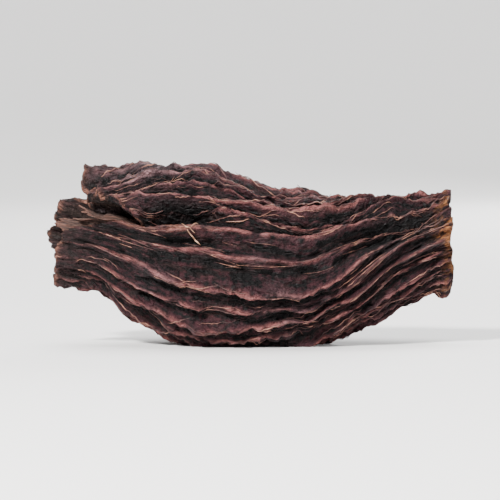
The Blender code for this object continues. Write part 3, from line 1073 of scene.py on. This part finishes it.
def husk_finish():
    """Dry fibrous husk: dark grooves, rubbed crests, grey patches and tan torn edges."""
    material, shader = new_material("husk")
    tree = material.node_tree
    layers = husk_layers(tree)
    colour = with_wear_and_shade(tree, shaded_tone_colour(tree, layers), layers)
    colour = with_torn_edges(tree, with_lining(tree, colour, layers), layers)
    height = 0.0
    for title, weight in BUMP_WEIGHTS.items():
        height = plus(tree, height, times(tree, layers[title], weight))
    finish_surface(tree, shader, colour, height, BUMP_STRENGTH, BUMP_DEPTH)
    least, most = ROUGHNESS_RANGE
    rough = spread(tree, layers["medium"], least=least, most=most)
    tree.links.new(rough, shader.inputs["Roughness"])
    shader.inputs["Specular IOR Level"].default_value = HUSK_SPECULAR
    return material


husk.data.materials.append(husk_finish())
print("husk material:", len(husk.data.materials[0].node_tree.nodes), "nodes")

# %% [markdown]
# ## What is left of the flower
#
# Inside the torn mouth stand a few dark shreds, the dried rest of the flower. They could be cut
# from planes and bent with modifiers. Here each is a small grid, narrow at its tip, crumpled by
# the same noise, and the Solidify modifier gives it the thickness of paper.

# %% Shapes of the shreds
SHRED_STEPS, SHRED_ACROSS, SHRED_PAPER = 44, 33, 0.09
SHRED_ROOT, SHRED_CURL, SHRED_INNERMOST = -0.47, 0.18, 0.15
TIP_ROUNDED, TIP_NARROWED = 0.10, 0.55
TEETH_DEPTH, TEETH_ACROSS, TEETH_APART, TEETH_SEED = 0.08, 3.1, 4.7, 2.0
PALE_SIDES, PALE_TIP = 0.10, 0.05
SHRED_CRUMPLES = (
    # height and length in mm, waves across the shred, step in the noise from shred to shred
    (0.30, 1.6, 1.7, 6.1),
    (0.14, 0.7, 4.3, 8.3),
)
SHREDS = (
    # angle and half width in degrees, share of the mouth's radius, share along of its tip, turn of its tip
    (150.0, 50.0, 0.74, -0.96, 18.0),
    (215.0, 44.0, 0.66, -0.93, -22.0),
    (265.0, 42.0, 0.62, -0.90, 25.0),
    (100.0, 36.0, 0.60, -0.84, -15.0),
    (185.0, 46.0, 0.36, -0.88, 30.0),
    (330.0, 40.0, 0.40, -0.80, -20.0),
)


def shred_grid(number, angle, half_width, out, tip, turn):
    """Points of one shred, and how near each lies to its torn tip and sides."""
    t = np.linspace(0.0, 1.0, SHRED_STEPS)[:, None]
    side = np.linspace(-1.0, 1.0, SHRED_ACROSS)[None, :]
    teeth = np.abs(waves(side * TEETH_ACROSS, number * TEETH_APART, TEETH_SEED))
    ragged = TEETH_DEPTH * teeth + TIP_ROUNDED * side**2
    share = SHRED_ROOT + (tip + ragged - SHRED_ROOT) * t
    here = angle + half_width * side * (1.0 - TIP_NARROWED * t) + turn * t
    crumple = 0.0
    for height, length, across, apart in SHRED_CRUMPLES:
        crumple = crumple + height * waves(share * HALF_LENGTH / length, side * across, number * apart)
    room = WIDEST_RADIUS * along(PROFILE, share) * (1.0 - MOUTH_TAPER * (1.0 - t))
    radius = np.maximum(room * (out - SHRED_CURL * side**2 * t) + crumple, SHRED_INNERMOST)
    at_side = np.exp(-(1.0 - np.abs(side)) / PALE_SIDES)
    edge = np.maximum(at_side, np.exp(-(1.0 - t) / PALE_TIP))
    return in_place(share, here, radius) + HUSK_SHIFT, edge + 0.0 * t * side


print(len(SHREDS), "shreds,", SHRED_PAPER, "mm thick")

# %% [markdown]
# ## The shreds in the mouth
#
# The shreds are thin dark plant paper, paler along their veins and where they are torn. The husk's
# own finish would make them too rough, so they have a lighter one from the same streaks and strands.

# %% Shreds in the mouth
SHRED_BROWN = (0.095, 0.052, 0.038)
SHRED_VEINS, SHRED_STREAKS = (9.0, 1.2, 6.0), (40.0, 8.0)
VEIN_STRENGTH, EDGE_PATCH_SIZE, EDGE_PATCH_DETAIL = 0.45, 0.8, 3.0
SHRED_ROUGHNESS, SHRED_BUMP, SHRED_BUMP_DEPTH = 0.6, 0.8, 0.12


def shred_finish():
    """Thin dark plant paper, its veins and torn edges tan."""
    material, shader = new_material("flower_paper")
    tree = material.node_tree
    fibre_tone = streaks(tree, *SHRED_STREAKS)
    colour = mixed(tree, fibre_tone, SHADOW, SHRED_BROWN)
    colour = mixed(tree, times(tree, strands(tree, *SHRED_VEINS), VEIN_STRENGTH), colour, TORN_TAN)
    patchy_edge = patches(tree, EDGE_PATCH_SIZE, EDGE_PATCH_DETAIL)
    colour = mixed(tree, times(tree, from_mesh(tree, "edge"), patchy_edge), colour, TORN_TAN)
    finish_surface(tree, shader, colour, fibre_tone, SHRED_BUMP, SHRED_BUMP_DEPTH)
    shader.inputs["Roughness"].default_value = SHRED_ROUGHNESS
    return material


shred_paper = shred_finish()
for number, shred in enumerate(SHREDS, start=1):
    points, edge = shred_grid(number, *shred)
    name = f"flower_shred_{number}"
    sheet = new_object(name, grid_mesh(name, points, wrap=False, caps=False, numbers={"edge": edge}))
    thicken = sheet.modifiers.new("paper", "SOLIDIFY")
    thicken.thickness, thicken.offset = SHRED_PAPER * MM, 0.0
    sheet.data.materials.append(shred_paper)
    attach(sheet, "root")
print(len(SHREDS), "shreds stand in the mouth")

# %% [markdown]
# ## Loose fibres
#
# Drying lifts single fibres off the crests and the torn edges, and they catch the light as thin
# pale lines. Blender's hair would look right but is no mesh. Each fibre is a thin four-sided tube
# that follows a rib line just over the skin, one of its ends curling away from it.

# %% Paths and tubes
FIBRE_STEPS, FIBRE_SIDES = 18, 4
FIBRE_SPREAD, FIBRE_SLANT = 0.22, 0.15
RIM_MARGIN, FIBRE_END = 0.01, 0.975
LIFT_RANGE, LIFT_CURVE, FIBRE_STAND = (0.2, 1.0), 3, 0.3
ACROSS_FIBRES, TINY, PINCHED = (0.0, 0.3, 1.0), 1e-6, 0.06


def fibre_path(pick, place):
    """Points along one fibre in mm, and its thickness."""
    _, from_share, to_share, from_line, to_line, lengths, thicknesses, lift = place
    line = round(pick.uniform(from_line, to_line)) + pick.gauss(0.0, FIBRE_SPREAD)
    middle = pick.uniform(from_share, to_share)
    half = pick.uniform(*lengths) / 2 / HALF_LENGTH
    t = np.linspace(-1.0, 1.0, FIBRE_STEPS)
    rim = float(mouth_rim(np.array([line % RIB_COUNT]))[0])
    share = np.clip(middle + half * t, rim + RIM_MARGIN, FIBRE_END)
    lines = (line + pick.uniform(-FIBRE_SLANT, FIBRE_SLANT) * t) % RIB_COUNT
    angle, skin = skin_at(share, lines)
    lifted = lift * pick.uniform(*LIFT_RANGE)
    lifted = lifted * np.clip(t * pick.choice((-1.0, 1.0)), 0.0, 1.0) ** LIFT_CURVE
    thickness = pick.uniform(*thicknesses)
    return in_place(share, angle, skin + lifted + thickness * FIBRE_STAND) + HUSK_SHIFT, thickness


def tube_along(path, thickness):
    """Rings of a thin tube round a path, pinched at both ends."""
    forward = np.gradient(path, axis=0)
    forward /= np.maximum(np.linalg.norm(forward, axis=1, keepdims=True), TINY)
    side = np.cross(forward, ACROSS_FIBRES)
    side /= np.maximum(np.linalg.norm(side, axis=1, keepdims=True), TINY)
    up = np.cross(side, forward)
    taper = np.sin(np.linspace(PINCHED, math.pi - PINCHED, len(path)))[:, None, None] ** 0.5
    turn = np.linspace(0.0, 2 * math.pi, FIBRE_SIDES, endpoint=False)[None, :, None]
    ring = np.cos(turn) * side[:, None, :] + np.sin(turn) * up[:, None, :]
    return path[:, None, :] + 0.5 * thickness * taper * ring


print("a fibre has", FIBRE_STEPS * FIBRE_SIDES, "points")

# %% [markdown]
# ## The fibres laid on the husk
#
# Hundreds of fibres as objects of their own would be slow to handle, so they are one mesh. A
# table says how many lie where: most along the front and the back of the pod, some more lifted
# round the mouth, and short thick ones at the stalk. One seeded generator draws them all, so they
# are the same each run.

# %% Lay the fibres
FIBRE_SEED = 31
FIBRE_PLACES = (
    # how many, from and to share, from and to rib line, lengths and thicknesses in mm, lift of one end
    (380, -0.70, 0.88, -6.0, 9.0, (1.0, 4.2), (0.04, 0.10), 0.22),
    (360, -0.70, 0.88, 9.0, 23.0, (1.0, 4.2), (0.04, 0.10), 0.22),
    (40, -0.97, -0.72, -4.0, 25.0, (1.0, 2.6), (0.05, 0.09), 0.45),
    (50, 0.84, 0.93, -14.0, 15.0, (0.8, 2.0), (0.06, 0.12), 0.30),
)


def tube_faces():
    """Faces of one tube: its sides from end to end, then its two ends."""
    faces = []
    for a in range(0, (FIBRE_STEPS - 1) * FIBRE_SIDES, FIBRE_SIDES):
        b = a + FIBRE_SIDES
        for corner in range(FIBRE_SIDES):
            after = (corner + 1) % FIBRE_SIDES
            faces.append((a + corner, a + after, b + after, b + corner))
    faces.append(tuple(range(FIBRE_SIDES))[::-1])
    faces.append(tuple(range(b, b + FIBRE_SIDES)))
    return np.array(faces)


def lay_fibres():
    """All the loose fibres as one mesh, none of them under the ground."""
    pick = random.Random(FIBRE_SEED)
    tubes = [tube_along(*fibre_path(pick, place)) for place in FIBRE_PLACES for _ in range(place[0])]
    spots = np.concatenate([tube.reshape(-1, 3) for tube in tubes])
    spots[:, 2] = np.maximum(spots[:, 2], 0.0)
    starts = range(0, len(spots), FIBRE_STEPS * FIBRE_SIDES)
    faces = np.concatenate([tube_faces() + start for start in starts])
    mesh = bpy.data.meshes.new("loose_fibres")
    mesh.from_pydata((spots * MM).tolist(), [], faces.tolist())
    mesh.shade_smooth()
    return mesh


fibres = new_object("loose_fibres", lay_fibres())
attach(fibres, "root")
print("loose fibres:", sum(place[0] for place in FIBRE_PLACES), "with", len(fibres.data.polygons), "faces")

# %% [markdown]
# ## Pale dry fibre
#
# A loose fibre is paler than the husk it came from, from dusty pink to tan. One colour would make
# all of them look like bristles, so patches of noise stain some and leave others clean. The tuft
# on the lip, further on, is made of the same fibre, so one function makes both finishes.

# %% Fibre material
FIBRE_STOPS = ((0.36, (0.030, 0.0085, 0.0080)), (0.52, (0.095, 0.036, 0.030)), (0.68, (0.33, 0.155, 0.105)))
FIBRE_PATCH_SIZE, FIBRE_ROUGHNESS = 1.1, 0.6


def stained_fibre(name, patch_size, stops, roughness):
    """Dry fibre, clean in some patches and stained in others."""
    material, shader = new_material(name)
    tree = material.node_tree
    tree.links.new(ramp(tree, patches(tree, patch_size), stops), shader.inputs["Base Color"])
    shader.inputs["Roughness"].default_value = roughness
    return material


fibres.data.materials.append(stained_fibre("fibre", FIBRE_PATCH_SIZE, FIBRE_STOPS, FIBRE_ROUGHNESS))
print("fibres are coloured in patches of", FIBRE_PATCH_SIZE, "mm")

# %% [markdown]
# ## A tuft on the lip
#
# Where the long split ends, pale fibres stand off its lower lip in a V. More random fibres would
# hardly ever stand like that. So these are the same thin tubes, but each is placed one by one: where
# it grows, how far it slants across the ribs, and its lift.

# %% The tuft
TUFT = (
    # share along, rib line, half length in mm, ribs crossed, thickness and lift in mm
    (-0.272, 0.90, 0.55, -0.55, 0.15, 0.35),
    (-0.300, 1.15, 0.55, -0.35, 0.09, 0.30),
    (-0.262, 1.00, 0.45, 0.35, 0.08, 0.35),
)
TUFT_STAND = 0.08
TUFT_STOPS = ((0.40, (0.22, 0.105, 0.060)), (0.60, (0.58, 0.36, 0.23)))
TUFT_PATCH_SIZE, TUFT_ROUGHNESS = 0.5, 0.55


def tuft_path(at, line, half_length, crossed, lift):
    """Points along one fibre of the tuft, which leaves the skin at its first end."""
    t = np.linspace(-1.0, 1.0, FIBRE_STEPS)
    share = at + half_length / HALF_LENGTH * t
    angle, skin = skin_at(share, (line + crossed * (t + 1.0) / 2) % RIB_COUNT)
    return in_place(share, angle, skin + TUFT_STAND + lift * ease(-1.0, 1.0, t)) + HUSK_SHIFT


tuft_fibre = stained_fibre("tuft_fibre", TUFT_PATCH_SIZE, TUFT_STOPS, TUFT_ROUGHNESS)
for number, (at, line, half_length, crossed, thickness, lift) in enumerate(TUFT, start=1):
    rings = tube_along(tuft_path(at, line, half_length, crossed, lift), thickness)
    name = f"tuft_fibre_{number}"
    strand = new_object(name, grid_mesh(name, rings, wrap=True, caps=True, numbers={}))
    strand.data.materials.append(tuft_fibre)
    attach(strand, "root")
print("tuft of", len(TUFT), "fibres")

# %% [markdown]
# ## The floor
#
# A wide pale dish stands for floor and backdrop: flat under the pod, its rim bending up behind
# the camera on every side, so no corner or edge shows from anywhere. A plane would show its end
# as a line. The dish is a profile that the Screw modifier turns.

# %% The stage
FLOOR_COLOUR, FLOOR_ROUGHNESS = (0.84, 0.83, 0.82, 1.0), 0.9
FLAT_RADIUS, RIM_BEND, RIM_TURN, RIM_STEP = 0.31, 0.26, 60, 4
DISH_STEPS, DISH_MERGE = 120, 0.0001


def dish_profile():
    """Places in m from the middle of the dish outwards and up its rim."""
    bend = [math.radians(step) for step in range(0, RIM_TURN + 1, RIM_STEP)]
    rim = [(FLAT_RADIUS + RIM_BEND * math.sin(a), 0.0, RIM_BEND - RIM_BEND * math.cos(a)) for a in bend]
    return [(0.0, 0.0, 0.0), *rim]


def build_floor():
    """The dish: its profile turned once round."""
    profile = dish_profile()
    mesh = bpy.data.meshes.new("floor")
    mesh.from_pydata(profile, [(step, step + 1) for step in range(len(profile) - 1)], [])
    material, shader = new_material("pale_floor")
    shader.inputs["Base Color"].default_value = FLOOR_COLOUR
    shader.inputs["Roughness"].default_value = FLOOR_ROUGHNESS
    mesh.materials.append(material)
    floor = new_object("floor", mesh)
    turned = floor.modifiers.new("turned", "SCREW")
    turned.steps = turned.render_steps = DISH_STEPS
    turned.use_merge_vertices, turned.merge_threshold = True, DISH_MERGE


build_floor()
print("floor dish: flat to", FLAT_RADIUS, "m, its rim up to", round(dish_profile()[-1][2], 2), "m high")

# %% [markdown]
# ## The light
#
# The light is soft and comes mostly from above, as from a skylight, with a small key lamp in
# front on the left to pick out the ribs. Weak lamps at the side and the back keep the far edges
# apart from their shadow, and a pale world fills the rest. One lamp alone would lose the dark
# grooves, and a sky picture would put its own colours on the crests.

# %% Lights
POD_MIDDLE = Vector((0.0, 0.0, 0.008))
WHITE = (1.0, 1.0, 1.0)
LAMPS = (
    # name, place and size in m, watts, colour
    ("key_lamp", (-0.13, -0.24, 0.20), 0.05, 3.3, (1.0, 0.985, 0.97)),
    ("side_lamp", (0.28, -0.12, 0.10), 0.14, 0.4, (0.95, 0.97, 1.0)),
    ("top_lamp", (0.05, 0.12, 0.60), 0.60, 6.0, WHITE),
    ("back_lamp", (0.14, 0.25, 0.11), 0.16, 1.1, WHITE),
)
WORLD_COLOUR, WORLD_STRENGTH = (0.93, 0.94, 0.96, 1.0), 0.25

for name, place, size, watts, colour in LAMPS:
    lamp = bpy.data.lights.new(name, "AREA")
    lamp.size, lamp.energy, lamp.color = size, watts, colour
    holder = new_object(name, lamp)
    holder.location = place
    holder.rotation_euler = (POD_MIDDLE - Vector(place)).to_track_quat("-Z", "Y").to_euler()
world = bpy.data.worlds.new("studio")
world.use_nodes = True
world.node_tree.nodes["Background"].inputs["Color"].default_value = WORLD_COLOUR
world.node_tree.nodes["Background"].inputs["Strength"].default_value = WORLD_STRENGTH
bpy.context.scene.world = world
print(len(LAMPS), "soft lamps")

# %% [markdown]
# ## The camera
#
# The pod is seen from its side and a little from above. A camera close by with a short lens would
# swell its middle, so this one stands well back with a long lens, which keeps both ends true.

# %% Camera
VIEW_TILT = 3.0
CAMERA_DISTANCE = 0.30
CAMERA_LENS = 260.0
CLIP_START = 0.01
AIM = Vector((0.0, 0.0, 0.0078))

camera_data = bpy.data.cameras.new("camera")
camera_data.lens = CAMERA_LENS
camera_data.clip_start = CLIP_START
camera = new_object("camera", camera_data)
tilt = math.radians(VIEW_TILT)
camera.location = AIM + CAMERA_DISTANCE * Vector((0.0, -math.cos(tilt), math.sin(tilt)))
camera.rotation_euler = (AIM - camera.location).to_track_quat("-Z", "Y").to_euler()
bpy.context.scene.camera = camera
print("camera", CAMERA_DISTANCE, "m away, lens", CAMERA_LENS, "mm")
